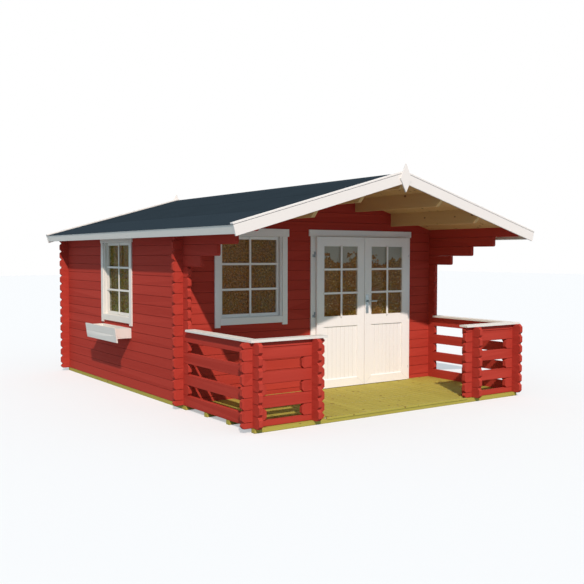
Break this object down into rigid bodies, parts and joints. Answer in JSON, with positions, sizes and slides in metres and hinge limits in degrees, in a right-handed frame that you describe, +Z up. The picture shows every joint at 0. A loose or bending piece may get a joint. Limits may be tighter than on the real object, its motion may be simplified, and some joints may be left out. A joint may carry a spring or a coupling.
{
  "type": "garden log cabin",
  "caption": "Garden log cabin of notched planks with a felted gable roof over a railed terrace, opening glazed double doors, windows and a flower box.",
  "frame": {"origin": "on the ground, in the middle of the whole cabin with its roof", "axes": "+Z up, -Y towards the front with the terrace and the door, +X to the right seen from the front"},
  "size_m": [4.3462, 5.576, 2.7329],
  "materials": {
    "red_timber": "red stained planed spruce, satin",
    "white_timber": "white painted planed wood, satin",
    "treated_timber": "yellow-green pressure treated pine, matt",
    "bare_timber": "bare planed spruce, matt",
    "pale_timber": "bare spruce floor boards, matt",
    "roofing_felt": "dark grey mineral roofing felt, rough",
    "window_glass": "clear float glass",
    "zinc_metal": "satin zinc plated steel"
  },
  "bodies": {
    "cabin": {"base_bearers": "treated_timber", "floor_boards": "pale_timber", "terrace_deck": "treated_timber", "left_wall": "red_timber", "right_wall": "red_timber", "front_wall_left": "red_timber", "front_wall_right": "red_timber", "back_wall": "red_timber", "front_gable": "red_timber", "back_gable": "red_timber", "ridge_purlin": "bare_timber", "left_purlins": "bare_timber", "right_purlins": "bare_timber", "roof_boards_left": "bare_timber", "roof_boards_right": "bare_timber", "roofing_felt": "roofing_felt", "eaves_fascia_left": "white_timber", "eaves_fascia_right": "white_timber", "front_barge_boards": "white_timber", "back_barge_boards": "white_timber", "front_finial": "white_timber", "back_finial": "white_timber", "front_window_frame": "white_timber", "front_window_glass": "window_glass", "front_window_trim": "white_timber", "side_window_frame": "white_timber", "side_window_glass": "window_glass", "side_window_trim": "white_timber", "flower_box": "white_timber", "door_frame": "white_timber", "door_trim": "white_timber", "hinge_pins": "zinc_metal", "left_rail_side": "red_timber", "left_rail_front": "red_timber", "left_rail_post": "red_timber", "left_rail_cap": "white_timber", "right_rail_side": "red_timber", "right_rail_front": "red_timber", "right_rail_post": "red_timber", "right_rail_cap": "white_timber"},
    "left_leaf": {"door_leaf_left": "white_timber", "door_glass_left": "window_glass", "door_hinges_left": "zinc_metal"},
    "right_leaf": {"door_leaf_right": "white_timber", "door_glass_right": "window_glass", "door_hinges_right": "zinc_metal", "lock_plates": "zinc_metal"},
    "handle": {"door_handle": "zinc_metal"}
  },
  "joints": [
    {"name": "left_leaf_hinge", "type": "hinge", "parent": "cabin", "child": "left_leaf", "pos_m": [-0.1095, -1.2295, 1.006], "axis": [0, 0, -1], "range_deg": [0, 105]},
    {"name": "right_leaf_hinge", "type": "hinge", "parent": "cabin", "child": "right_leaf", "pos_m": [1.4435, -1.2295, 1.006], "axis": [0, 0, 1], "range_deg": [0, 105]},
    {"name": "handle_turn", "type": "hinge", "parent": "right_leaf", "child": "handle", "pos_m": [0.711, -1.244, 1.1416], "axis": [0, 1, 0], "range_deg": [0, 40], "stiffness_Nm_per_rad": 2, "springref_deg": -17.19}
  ]
}
